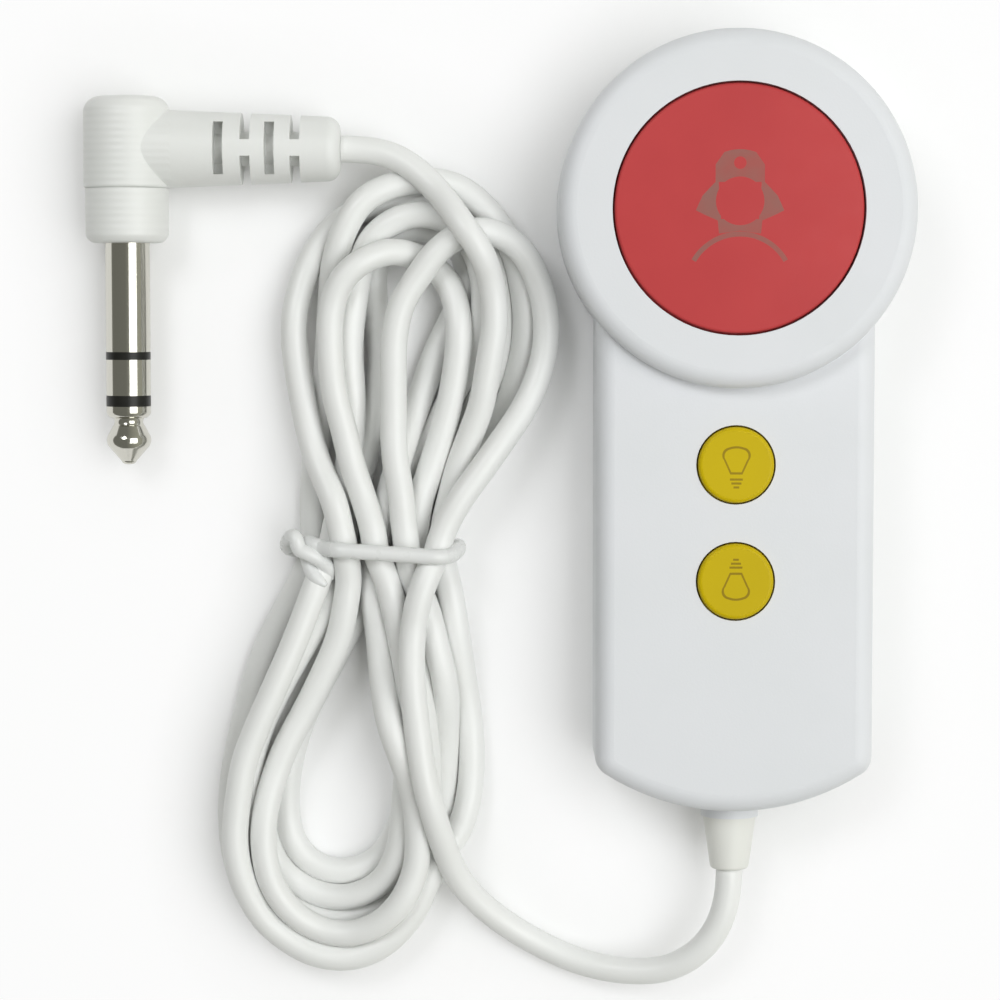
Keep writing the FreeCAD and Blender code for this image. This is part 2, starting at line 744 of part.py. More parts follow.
def plug_tail():
    """The tapered cord tail of the plug with its flexing slots, cut from two directions in turn."""
    root, end = plug_tail_root_diameter / 2, plug_tail_end_diameter / 2
    outline = [(0, 0), (root, 0), (root, plug_radius), (end, plug_tail_length), (0, plug_tail_length)]
    tail = turned(outline, V(plug_x, plug_tail_y, plug_z), V(1, 0, 0), V(0, 1, 0))
    tail = rounded(tail, plug_tail_edge_radius,
                   lambda edge: is_round(edge, end) and abs(edge.BoundBox.XMax - plug_tail_end_x) < 1e-4)
    core = along_x(plug_core_diameter / 2, plug_tail_y, plug_z, plug_x, plug_tail_end_x)
    slots = []
    for number, offset in enumerate(slot_offsets):
        x0, x1 = plug_x + offset, plug_x + offset + slot_width
        wide = plug_radius
        rail = end - slot_rail
        for side in (-1, 1):
            if number % 2 == 0:
                z0, z1 = sorted((plug_z + side * slot_web / 2, plug_z + side * wide))
                slots.append(box(x0, x1, plug_tail_y - rail, plug_tail_y + rail, z0, z1))
            else:
                y0, y1 = sorted((plug_tail_y + side * slot_web / 2, plug_tail_y + side * wide))
                slots.append(box(x0, x1, y0, y1, plug_z - wide, plug_z + wide))
    return tail.cut([slot.cut(core) for slot in slots])


def make_plug_housing(inside):
    """The moulded right-angle housing, with the contact's tails, wires and cord end taken out of it."""
    block = along_y(plug_radius, plug_x, plug_z, plug_joint_y, plug_top_y)
    block = rounded(block, plug_top_radius, lambda edge: abs(edge.BoundBox.YMin - plug_top_y) < 1e-4)
    block = rounded(block, plug_joint_radius, lambda edge: abs(edge.BoundBox.YMax - plug_joint_y) < 1e-4
                    and is_round(edge, plug_radius))
    cavity_end = plug_joint_y + plug_cavity_length
    cavity = along_y(plug_cavity_diameter / 2, plug_x, plug_z, plug_joint_y, cavity_end)
    return joined([block, plug_tail()]).cut([cavity] + inside)


def contact_part(outline):
    """A turned piece of the jack contact. Lengths run from the shoulder towards the tip."""
    return turned(outline, V(plug_x, shoulder_y, plug_z), V(0, -1, 0), V(1, 0, 0))


def make_contact():
    """Sleeve, ring and tip, each with a tail into the housing, and the two insulators between them."""
    gap = contact_gap
    rod_radius = tip_rod_diameter / 2
    ring_bore, ring_tube = ring_bore_diameter / 2, ring_tube_diameter / 2
    bore, flange = sleeve_bore_diameter / 2, sleeve_flange_diameter / 2
    neck, tail = sleeve_neck_diameter / 2, sleeve_tail_diameter / 2
    sleeve = contact_part([
        (bore, sleeve_length), (pin_radius, sleeve_length), (pin_radius, 0), (neck, 0),
        (neck, -sleeve_flange_setback), (flange, -sleeve_flange_setback), (flange, -plug_collar_length),
        (tail, -plug_collar_length), (tail, -sleeve_tail_length), (bore, -sleeve_tail_length),
    ])
    rear = contact_part([
        (ring_tube + gap, -sleeve_tail_length - insulator_overhang),
        (bore - gap, -sleeve_tail_length - insulator_overhang),
        (bore - gap, sleeve_length), (pin_radius, sleeve_length), (pin_radius, ring_start),
        (ring_tube + gap, ring_start),
    ])
    ring = contact_part([
        (ring_bore, ring_end), (pin_radius, ring_end), (pin_radius, ring_start), (ring_tube, ring_start),
        (ring_tube, -ring_tail_length), (ring_bore, -ring_tail_length),
    ])
    front = contact_part([
        (rod_radius + gap, -ring_tail_length - insulator_overhang),
        (ring_bore - gap, -ring_tail_length - insulator_overhang),
        (ring_bore - gap, ring_end), (pin_radius, ring_end), (pin_radius, tip_start),
        (rod_radius + gap, tip_start),
    ])
    groove = tip_groove_diameter / 2
    tip = contact_part([
        (0, -tip_tail_length), (rod_radius, -tip_tail_length), (rod_radius, tip_start),
        (pin_radius, tip_start), (pin_radius, tip_shank_end),
        (groove + 0.15, tip_groove - 0.5, (pin_radius - 0.3, tip_shank_end + 0.55)),
        (groove + 0.25, tip_groove + 0.6, (groove, tip_groove)), (pin_radius - 0.18, tip_ball - 0.8),
        (pin_radius - 0.4, tip_ball + 1.0, (pin_radius, tip_ball)), (1.1, tip_end - 0.5),
        (0.3, tip_end, (0.82, tip_end - 0.14)), (0, tip_end),
    ])
    return sleeve, rear, ring, front, tip


def make_plug_collar():
    radius = plug_collar_diameter / 2
    bore, flange = sleeve_neck_diameter / 2 + contact_gap, sleeve_flange_diameter / 2 + contact_gap
    collar = contact_part([
        (bore, 0), (radius, 0), (radius, -plug_collar_length), (flange, -plug_collar_length),
        (flange, -sleeve_flange_setback + contact_gap), (bore, -sleeve_flange_setback + contact_gap),
    ])
    return rounded(collar, plug_collar_radius,
                   lambda edge: is_round(edge, radius) and abs(edge.BoundBox.YMax - shoulder_y) < 1e-4)


def make_plug_wires(around, jacket_x):
    """Three wires from the cord's jacket to the tails of tip, ring and sleeve."""
    sleeve_rear = shoulder_y + sleeve_tail_length
    ring_rear = shoulder_y + ring_tail_length
    radius = conductor_diameter / 2
    sleeve_place = (sleeve_bore_diameter + sleeve_tail_diameter) / 4 * math.cos(math.radians(45))
    starts = [V(jacket_x, plug_tail_y + conductor_ring_radius * math.cos(math.radians(angle)),
                plug_z + conductor_ring_radius * math.sin(math.radians(angle))) for angle in (0, 120, 240)]
    ends = [
        V(plug_x, starts[0].y, plug_z),
        V(plug_x + ring_tube_diameter / 4, ring_rear - radius, plug_z + ring_tube_diameter / 4),
        V(plug_x + sleeve_place, sleeve_rear - radius, plug_z - sleeve_place),
    ]
    wires = []
    for start, end in zip(starts, ends):
        wire = rod(radius, start, end).cut(around)
        wires.append(max(wire.Solids, key=lambda solid: solid.CenterOfMass.x))
    return Part.makeCompound(wires)


def soft_block(points, z0, z1):
    """A prism over a closed outline of points, each corner an arc tangent to its two runs."""
    corners = [V(x, y, z0) for x, y in points]
    edges = []
    arcs = [corner_arc(before, corner, after) for before, corner, after
            in zip(corners[-1:] + corners[:-1], corners, corners[1:] + corners[:1])]
    for arc, following in zip(arcs, arcs[1:] + arcs[:1]):
        edges.append(Part.Arc(arc[0], arc[1], arc[2]).toShape())
        edges.append(Part.LineSegment(arc[2], following[0]).toShape())
    return Part.Face(Part.Wire(edges)).extrude(V(0, 0, z1 - z0))


def make_hank(tie):
    """The tied turns as one solid: their outer shape, the eye of the lower loops and the tie's groove."""
    block = soft_block(hank_outline, 0, hank_height)
    block = rounded(block, hank_edge_radius, lambda edge: at_height(edge, 0) or at_height(edge, hank_height))
    eye = soft_block(eye_outline, -1, hank_height + 1)
    return block.cut([eye, tie])


def make_tie():
    """A soft round tie once around the waist, twisted shut at the left."""
    radius = tie_diameter / 2
    low, high = radius, hank_height + radius / 2
    bend = (high - low) / 2
    left, right, middle = tie_left_x + bend, tie_right_x - bend, (low + high) / 2
    pieces = [along_x(radius, tie_y, z, left, right) for z in (low, high)]
    for x, turn in ((left, -180), (right, 180)):
        section = Part.Face(Part.Wire(Part.makeCircle(radius, V(x, tie_y, high), V(1, 0, 0))))
        pieces.append(section.revolve(V(x, tie_y, middle), V(0, 1, 0), turn))
    knot = rounded(along_x(tie_knot_diameter / 2, tie_y, middle, tie_left_x - tie_knot_length, tie_left_x),
                   tie_knot_radius, lambda edge: is_round(edge, tie_knot_diameter / 2))
    return joined(pieces + [knot])


def points_of(values):
    return [V(*value) for value in values]


parts = {}
back_shell, front_shell = covers()
parts["back_cover"] = make_back_cover(back_shell)
parts["front_cover"] = make_front_cover(front_shell)
parts["cover_screws"] = make_cover_screws()
parts["circuit_board"] = make_board()
parts["board_screws"] = Part.makeCompound(
    [small_screw(x, y, board_top, board_screw_length) for x, y in board_screw_places])

parts["call_switch"] = make_switch(
    call_switch_width, call_switch_height, call_plunger_diameter, call_travel, head_y)
parts["call_plunger"] = make_plunger(call_plunger_diameter, call_switch_height, call_plunger_rise, head_y)
parts["return_spring"] = make_spring()
parts["call_cap"], parts["nurse_symbol"] = inlaid(
    make_call_cap(), nurse_figure(), nurse_print_height, head_y)

for place, centre_y, turn in (("upper", lamp_upper_y, 0), ("lower", lamp_lower_y, 180)):
    parts[f"lamp_switch_{place}"] = make_switch(
        lamp_switch_width, lamp_switch_height, lamp_plunger_diameter, lamp_travel, centre_y)
    parts[f"lamp_plunger_{place}"] = make_plunger(
        lamp_plunger_diameter, lamp_switch_height, lamp_plunger_rise, centre_y)
    parts[f"lamp_cap_{place}"], parts[f"lamp_symbol_{place}"] = inlaid(
        make_lamp_cap(centre_y), lamp_figure(), lamp_print_height, centre_y, turn)

parts["coding_resistors"] = make_resistors()
parts["handset_wires"] = make_conductors()
parts["strain_relief"] = make_relief()
parts["cord_clamp"] = make_clamp()
parts["clamp_screws"] = make_clamp_screws()
parts["cord_handset_end"] = along_y(cord_radius, 0, cord_z, relief_end_y, jacket_end_y)

(parts["plug_sleeve"], parts["plug_rear_insulator"], parts["plug_ring"], parts["plug_front_insulator"],
 parts["plug_tip"]) = make_contact()
contacts = [parts["plug_sleeve"], parts["plug_rear_insulator"], parts["plug_ring"],
            parts["plug_front_insulator"], parts["plug_tip"]]
jacket_x = plug_x + plug_cavity_diameter / 2
parts["cord_plug_end"] = along_x(cord_radius, plug_tail_y, plug_z, jacket_x, plug_tail_end_x)
parts["plug_wires"] = make_plug_wires(contacts + [parts["cord_plug_end"]], jacket_x)
parts["plug_collar"] = make_plug_collar()
parts["plug_housing"] = make_plug_housing([parts["cord_plug_end"], parts["plug_wires"]] + contacts)

parts["cord_tie"] = make_tie()
parts["cord_hank"] = make_hank(parts["cord_tie"])
lead = tube([V(0, relief_end_y, cord_z)] + points_of(lead_points), cord_diameter)
plug_lead = tube([V(plug_tail_end_x, plug_tail_y, plug_z)] + points_of(plug_lead_points), cord_diameter)
parts["cord_lead"] = lead.cut(parts["cord_hank"])
parts["cord_plug_lead"] = plug_lead.cut(parts["cord_hank"])

os.makedirs("parts", exist_ok=True)
for name, shape in parts.items():
    shape.exportStep(f"parts/{name}.step")
    print(name, len(shape.Solids), "solids", round(shape.Volume, 2), "mm3", "valid", shape.isValid())
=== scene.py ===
"""Dresses the pear-shaped call button: its tied cord, the tie, the materials, the light and the camera."""
import math

import bpy
import numpy as np
from mathutils import Matrix, Vector

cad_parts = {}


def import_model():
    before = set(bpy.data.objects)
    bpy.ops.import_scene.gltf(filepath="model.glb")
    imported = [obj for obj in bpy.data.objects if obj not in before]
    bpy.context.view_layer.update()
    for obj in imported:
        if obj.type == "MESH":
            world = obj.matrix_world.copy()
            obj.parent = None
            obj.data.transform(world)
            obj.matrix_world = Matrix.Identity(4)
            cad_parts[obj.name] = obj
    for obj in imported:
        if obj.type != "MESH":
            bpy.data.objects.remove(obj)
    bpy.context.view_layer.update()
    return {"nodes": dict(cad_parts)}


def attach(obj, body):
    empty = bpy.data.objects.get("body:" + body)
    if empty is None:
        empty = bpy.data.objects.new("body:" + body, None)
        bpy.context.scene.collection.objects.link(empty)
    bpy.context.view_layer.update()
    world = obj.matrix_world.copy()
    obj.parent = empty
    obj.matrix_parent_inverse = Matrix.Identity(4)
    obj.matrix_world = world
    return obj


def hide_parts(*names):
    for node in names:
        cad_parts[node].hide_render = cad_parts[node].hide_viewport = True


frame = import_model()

nodes = frame["nodes"]
MM = 0.001
noise_low, noise_high = 0.3, 0.7      # most of a noise lies between these

# Millimetres, but for the cord's length, which is in metres.
cord_diameter = 3.8
least_bend = 8.0
tie_diameter = 2.2
white = (1, 1, 1, 1)

# The cord's route in millimetres: x, y and height. It leaves the relief, turns round to the left and climbs onto
# the lower end of the hank.
lead_route = [
    (0, -63.2, 8), (0, -68, 8), (-2.6, -74.3, 7.3), (-7.9, -78.5, 5.8), (-14.7, -79.3, 4.1), (-21.6, -78.1, 2.6),
    (-28.2, -75, 2.4), (-34.2, -70.8, 4), (-39.2, -65.2, 6.6)]

# The strands that pass through the tie: x and height in three layers.
tie_row = -18
slots = {
    "top_1": (-55, 7.5), "top_2": (-50.5, 7.5), "top_3": (-46, 7.5), "top_4": (-42, 7.5),
    "middle_1": (-57, 4.5), "middle_2": (-51, 4.5), "middle_3": (-46, 4.5), "middle_4": (-41.5, 4.5),
    "low_1": (-59.5, 1.9), "low_2": (-55.5, 1.9), "low_3": (-51.5, 1.9), "low_4": (-48, 1.9),
    "low_5": (-43.5, 1.9)}

# The turns in the order in which the cord makes them, each between two slots: six above the tie, six below it.
hank_route = [
    (-42, -57, 8.5), (-44, -50, 9.5), (-45, -42.5, 9.5), (-45.5, -35.5, 9), (-45.5, -29.5, 8.5),
    (-44.5, -24, 8), (-43.5, -20.5, 8),
    "top_4",
    (-41, -14.5, 8), (-38.8, -10.4, 9), (-35.7, -6.2, 9), (-32.3, -1.5, 8), (-29.2, 3, 6.5),
    (-27, 8, 5.5), (-26, 14, 5), (-27, 20, 5), (-29.5, 24.5, 5), (-33.5, 28.5, 5.5), (-37.5, 28.5, 6),
    (-41.5, 25, 7), (-44.5, 21.5, 8), (-47, 17.5, 8.5), (-48, 12.5, 8.5), (-48, 7.5, 8.5), (-48, 2.5, 8.5),
    (-48, -3.5, 8.5), (-47, -9, 8.5), (-46.5, -14, 8),
    "top_3",
    (-45.5, -21.5, 6.5), (-43.5, -25.5, 4), (-42.5, -31, 3), (-41.5, -37.5, 3),
    (-41.5, -45, 2.5), (-41.5, -52, 2.5), (-42, -59.5, 1.9), (-43.5, -66, 1.9), (-46, -71, 1.9),
    (-50, -74.5, 1.9), (-55, -76, 1.9), (-60, -76, 1.9), (-65, -73.5, 1.9), (-69, -69.5, 1.9),
    (-71, -64.5, 1.9), (-72, -59, 1.9), (-72, -53, 1.9), (-71, -47, 1.9), (-69.5, -41, 1.9),
    (-68, -35.5, 1.9), (-66, -30.5, 1.9), (-63.5, -26, 1.9), (-61.5, -22, 1.9),
    "low_1",
    (-60, -15, 1.9), (-60, -10.5, 1.9), (-59.5, -3.5, 2.5), (-58, 4, 3), (-57.5, 11, 4),
    (-57, 17.5, 4.5), (-56.5, 23.5, 5), (-55, 28.5, 5.5), (-52.5, 32.5, 5.5), (-48, 34.5, 5),
    (-43, 35, 4.5), (-38.5, 34, 3.5), (-34.5, 30.5, 2.5), (-31.5, 25.5, 1.9), (-30, 19.5, 1.9),
    (-29.5, 13, 1.9), (-30.5, 7, 1.9), (-32.5, 1, 1.9), (-35.5, -4, 1.9), (-38.5, -9.5, 1.9),
    (-41.5, -14.5, 1.9),
    "low_5",
    (-42, -22, 1.9), (-41.8, -26, 1.9), (-42, -32, 1.9), (-42.5, -38, 1.9),
    (-43.2, -44, 1.9), (-44.3, -50.5, 1.9), (-46, -56, 1.9), (-48.5, -61, 1.9), (-51.5, -64, 1.9),
    (-55.5, -65.2, 1.9), (-59.5, -64.8, 1.9), (-63.3, -62.3, 1.9), (-65.3, -58, 1.9), (-65.8, -52.5, 1.9),
    (-65, -47, 1.9), (-63, -41.5, 1.9), (-60.5, -36.5, 1.9), (-57.8, -32, 1.9), (-55, -27.5, 1.9),
    (-51.8, -23.5, 1.9), (-49, -20.5, 1.9),
    "low_4",
    (-46, -14, 1.9), (-44, -9.5, 1.9), (-41, -4, 1.9), (-37.5, 1, 1.9), (-34.5, 7, 1.9),
    (-33, 13, 1.9), (-32.5, 19.5, 1.9), (-33.5, 25.5, 1.9), (-36, 30, 1.9), (-40, 32.5, 1.9),
    (-45.5, 33, 1.9), (-51, 32, 1.9), (-56, 29.5, 1.9), (-59.5, 25, 3), (-61.5, 20, 4), (-62.5, 14.5, 5),
    (-62, 9, 5), (-61, 3.5, 5.5), (-60, -1.5, 6), (-58.5, -6, 7), (-56.5, -10, 7.5), (-55.5, -14.5, 8),
    "top_1",
    (-54.5, -21.5, 7.5), (-55, -25.5, 7.5), (-56, -30.5, 7), (-58.5, -36, 6.5),
    (-61, -41, 6), (-63.5, -45.5, 6), (-65.5, -50.5, 6), (-67, -56, 6), (-67, -61, 6), (-66, -65.5, 6),
    (-63.5, -69.5, 6), (-59.5, -72.5, 6), (-55, -73.5, 6), (-50.5, -72, 6), (-46.8, -68.5, 6),
    (-44.7, -63.5, 6), (-44.7, -58, 6), (-45.2, -52, 6.5), (-46.3, -47, 6.5), (-47.6, -41.5, 6),
    (-49, -35.5, 6), (-50.2, -30, 5.5), (-51, -25, 5), (-51, -21.5, 5),
    "middle_2",
    (-49.8, -13.5, 4.5), (-48.5, -9, 3.8), (-47, -4, 2.8), (-45.6, 0, 2.2), (-44, 5, 1.9),
    (-42.2, 10.5, 1.9), (-39.9, 15.5, 1.9), (-37.7, 19.8, 1.9), (-37, 24, 1.9), (-39.2, 27.2, 1.9),
    (-42.8, 28.5, 1.9), (-46.6, 28.4, 1.9), (-49.9, 26.4, 1.9), (-51.2, 22.4, 1.9), (-50.8, 17.2, 1.9),
    (-49.9, 11, 1.9), (-50.3, 6, 1.9), (-51, 1, 1.9), (-52.3, -4, 1.9), (-53.7, -9, 1.9), (-55, -14, 1.9),
    "low_2",
    (-56.3, -22.5, 1.9), (-58.4, -27, 2.5), (-61.4, -32, 3), (-64.5, -37.5, 3),
    (-67.2, -43, 3.5), (-68.9, -49, 3.5), (-69.5, -55, 3.5), (-69, -61, 3), (-67, -66.5, 3), (-63, -70, 2.5),
    (-58.5, -71.5, 1.9), (-53, -71, 1.9), (-48.5, -68.5, 1.9), (-45.5, -64, 1.9), (-44, -57.5, 2.5),
    (-43.5, -50.5, 3), (-44, -44, 3), (-44, -37.5, 3.5), (-44, -31, 4), (-44.5, -25, 4.5),
    (-45.5, -21.5, 4.5),
    "middle_3",
    (-45, -15, 5), (-44.5, -11, 5), (-43, -6.5, 5), (-41.5, -2, 5.5), (-40, 3.5, 5.5),
    (-39, 9, 5.5), (-38.5, 14, 5.5), (-39.5, 19, 5), (-41.5, 22.5, 4), (-44.5, 24.5, 5), (-48.5, 25, 6.5),
    (-52.5, 24, 7.5), (-55.5, 21, 8), (-57, 16.5, 8), (-57, 10.5, 8.5), (-56.5, 5, 8.5), (-55, -0.5, 8.5),
    (-54, -5, 8.5), (-52.5, -9.5, 8), (-51, -14, 8),
    "top_2",
    (-49, -21.5, 7.5), (-48, -26, 7), (-47, -31, 7), (-46, -37.5, 6),
    (-45.5, -43.5, 5.5), (-45.5, -49.5, 5), (-46, -56, 4), (-47, -61.5, 3), (-49.5, -66, 1.9),
    (-53.5, -68.5, 1.9), (-57.5, -69, 1.9), (-61.5, -67.5, 1.9), (-65, -64.5, 1.9), (-66.5, -59.5, 1.9),
    (-66.5, -53.5, 1.9), (-65.5, -48, 1.9), (-64, -42, 1.9), (-61.5, -36.5, 1.9), (-59, -31, 1.9),
    (-56.5, -26, 1.9), (-53.5, -22, 1.9),
    "low_3",
    (-50, -14, 1.9), (-48, -9.5, 1.9), (-45.5, -5, 1.9), (-42, 0, 1.9), (-38.5, 6, 1.9),
    (-36, 11.5, 1.9), (-34.8, 17.5, 3.3), (-35.5, 22.8, 5), (-37.8, 27.5, 5.5), (-41.5, 30, 5.5),
    (-45.5, 30.5, 5.5), (-49.2, 28.7, 5.2), (-51.8, 25.8, 5), (-53.2, 21.5, 5), (-54, 16.5, 5), (-54.5, 11, 5),
    (-54, 5.5, 5), (-54, 0.5, 5), (-54.5, -5, 5), (-55.5, -10, 5), (-56.5, -14.5, 5),
    "middle_1",
    (-58.5, -21.5, 5), (-60, -25.5, 5), (-62, -30.5, 5.5), (-64.5, -36, 6),
    (-67, -41.5, 6), (-69.5, -47.5, 6), (-70.5, -54, 6), (-71, -59.5, 6), (-70, -65, 5.5),
    (-67.5, -70.5, 5), (-64, -74, 4.5), (-59.5, -76.5, 4), (-54, -77, 4), (-49, -74.5, 4), (-45.2, -70, 4),
    (-43.2, -65.5, 4), (-41.2, -61.8, 3.5), (-39, -59, 3), (-37.6, -55, 3), (-37, -50, 2.5), (-37.2, -45, 2.5),
    (-37.8, -39.5, 3), (-38.6, -34, 3), (-39.4, -28, 4), (-40.2, -23, 4.5),
    "middle_4",
    (-41, -14, 5), (-40, -10, 5.5), (-39, -6, 6), (-37.5, -2, 6.5), (-35.5, 3, 7.5), (-34.5, 9, 8.5),
    (-33.5, 15, 9), (-34, 20.5, 9.5), (-35.5, 25, 10), (-38.5, 29, 10)]

# From the hank up to the tail of the plug.
plug_route = [(-41.6, 33.5, 8.2), (-45.9, 37.6, 6.8), (-50.8, 39.5, 6.1), (-55.5, 39.5, 6.1)]

# The tie's twist at the left: its axis, the radius of its two wires, the length of one turn, how far along its
# axis the first wire lies on top, and where the points of both wires stand along it.
twist_start, twist_end = Vector((-61.3, -16.4, 9.2)), Vector((-56.6, -22.9, 8.6))
twist_radius, twist_pitch, twist_top = 1.1, 12.5, 1.6
first_wire = [7.0, 6.2, 5.4, 4.6, 3.8, 3.0, 2.2]
second_wire = [0.5, 1.3, *np.arange(2.1, 7.0, 0.8)]

# The taut part over the strands: from left to right, where it starts in y, and how far it drops towards the right.
band_left, band_right = -58.2, -41.4
band_row, band_slope = -17.0, 0.065

# From the twist towards the strands, down at their right and back under them, and up at the left into the twist.
tie_in = [(-61.1, -17.2, 8.2), (-60.2, -16.3, 8.3), (-59.2, -16.6, 9.6)]
tie_under = [(-39.6, -18.0, 10.8), (-38.8, -17.2, 9.0), (-38.8, -17.0, 6), (-39.2, -17.4, 2.8), (-41, -17.9, 1.1),
             (-47, -18, 1.1), (-54, -18, 1.1), (-60, -18, 1.1), (-62.5, -17.9, 1.7), (-63.2, -17.6, 3.8),
             (-63.4, -16.9, 6.3), (-63.0, -15.8, 8.5), (-62.0, -15.1, 9.9)]


def spline_weights(count, samples):
    """Rows of weights that give points of a quadratic spline, clamped at its ends, from its control points."""
    spans = count - 2
    knots = np.concatenate([[0, 0], np.arange(spans + 1), [spans, spans]])
    steps = np.linspace(0, spans, spans * samples + 1)
    rows = np.zeros((len(steps), count))
    for row, t in enumerate(steps):
        k = min(int(t), spans - 1) + 2
        weights = [1.0]
        for degree in (1, 2):
            wider = [0.0] * (degree + 1)
            for j in range(degree):
                left, right = knots[k - degree + 1 + j], knots[k + 1 + j]
                share = (t - left) / (right - left) if right > left else 0.0
                wider[j] += (1 - share) * weights[j]
                wider[j + 1] += share * weights[j]
            weights = wider
        rows[row, k - 2:k + 1] = weights
    return rows


def settle(points, free, diameter):
    """Pushes the strands of one cord a diameter apart, keeps its bends round and lays it on the floor."""
    rounds = 300
    one_strand = 8                # samples along the cord that never count as two strands
    lift = 1.6                    # strands part upwards sooner than sideways
    hold, hold_height = 0.05, 0.15      # how firmly a point keeps its drawn place, and how little its height
    straighten = 0.2              # the share of a too tight bend that one round takes away
    least_gap, least_turn = 0.05, 0.01      # what the divisions below never go under
    weights = spline_weights(len(points), 3)
    share = weights.sum(0)[:, None]
    place = points.copy()
    order = np.arange(len(weights))
    apart = order[None, :] - order[:, None] > one_strand
    for turn in range(rounds):
        line = weights @ points
        if turn % 10 == 0:
            gap = np.sqrt(((line[:, None, :] - line[None, :, :]) ** 2).sum(2))
            one, other = np.nonzero(apart & (gap < 2 * diameter))
        between = line[one] - line[other]
        gap = np.sqrt((between ** 2).sum(1))
        lack = np.maximum(diameter - gap, 0) / np.maximum(gap, least_gap)
        push = 0.5 * lack[:, None] * between * [1, 1, lift]
        moved, count = np.zeros_like(line), np.zeros(len(line))
        for ends, way in ((one, 1), (other, -1)):
            np.add.at(moved, ends, way * push)
            np.add.at(count, ends, lack > 0)
        step = weights.T @ (moved / np.maximum(count, 1)[:, None]) / share
        step += hold * (place - points) * [1, 1, hold_height]
        bend = points[:-2] - 2 * points[1:-1] + points[2:]
        reach = np.sqrt(((points[2:] - points[:-2]) ** 2).sum(1)) / 2
        most = reach ** 2 / least_bend
        turned = np.maximum(np.sqrt((bend ** 2).sum(1)), least_turn)
        excess = np.maximum(1 - most / turned, 0)[:, None] * bend
        step[1:-1] += straighten * excess
        step[:-2] -= straighten / 2 * excess
        step[2:] -= straighten / 2 * excess
        points = points + np.where(free[:, None], step, 0)
        points[:, 2] = np.maximum(points[:, 2], diameter / 2)
    return points


def at_tie(points):
    """Where the cord's strands pass the tie's row; what passes it outside the hank doesn't count."""
    hank_middle, hank_half = -51, 15
    line = spline_weights(len(points), 6) @ points
    off = line[:, 1] - tie_row
    in_hank = abs(line[:-1, 0] - hank_middle) < hank_half
    k = np.nonzero((off[:-1] * off[1:] < 0) & in_hank)[0]
    share = (off[k] / (off[k] - off[k + 1]))[:, None]
    return line[k] + share * (line[k + 1] - line[k])


def tie_points(strands):
    """The tie as one wire: along the twist, taut over the strands, back under them, and along the twist again."""
    axis = (twist_end - twist_start).normalized()
    side = Vector((-axis.y, axis.x, 0)).normalized()

    def twist(along, wire):
        turn = 2 * math.pi * (along - twist_top) / twist_pitch
        across = side * math.sin(turn) + Vector((0, 0, 1)) * math.cos(turn)
        return tuple(twist_start + axis * along + across * wire * twist_radius)

    reach = (cord_diameter + tie_diameter) / 2
    xs = np.linspace(band_left, band_right, 9)
    rest = [max(z + math.sqrt(max(reach ** 2 - (x - sx) ** 2, 0)) for sx, _, z in strands) for x in xs]
    over = []
    for k, x in enumerate(xs):
        spans = [(a, b) for a in range(k) for b in range(k + 1, len(xs))]
        held = [rest[a] + (rest[b] - rest[a]) * (k - a) / (b - a) for a, b in spans]
        over.append((x, band_row - band_slope * (x - band_left), max([rest[k], *held])))
    first = [twist(along, -1) for along in first_wire]
    second = [twist(along, 1) for along in second_wire]
    return first + tie_in + over + tie_under + second


def spline_piece(name, points, diameter, end_shares=()):
    """A tube along one NURBS spline through millimetre control points; end_shares thin it from each end inwards."""
    curve = bpy.data.curves.new(name, "CURVE")
    curve.dimensions = "3D"
    spline = curve.splines.new("NURBS")
    spline.points.add(len(points) - 1)
    for place, (x, y, z) in zip(spline.points, points):
        place.co = (x * MM, y * MM, z * MM, 1)
    for k, share in enumerate(end_shares):
        spline.points[k].radius = spline.points[-1 - k].radius = share
    spline.order_u = 3
    spline.use_endpoint_u = True
    spline.resolution_u = 8
    curve.bevel_depth = diameter * MM / 2
    curve.bevel_resolution = 10
    curve.use_fill_caps = True
    piece = bpy.data.objects.new(name, curve)
    bpy.context.collection.objects.link(piece)
    return piece


def cord_points():
    """All control points of the cord in order, with those of the hank settled; its two ends stay as drawn."""
    points = list(lead_route)
    for item in hank_route:
        if isinstance(item, str):
            x, z = slots[item]
            item = (x, tie_row, z)
        points.append(item)
    points += plug_route
    free = np.zeros(len(points), bool)
    free[len(lead_route):-len(plug_route)] = True
    return settle(np.array(points, float), free, cord_diameter)


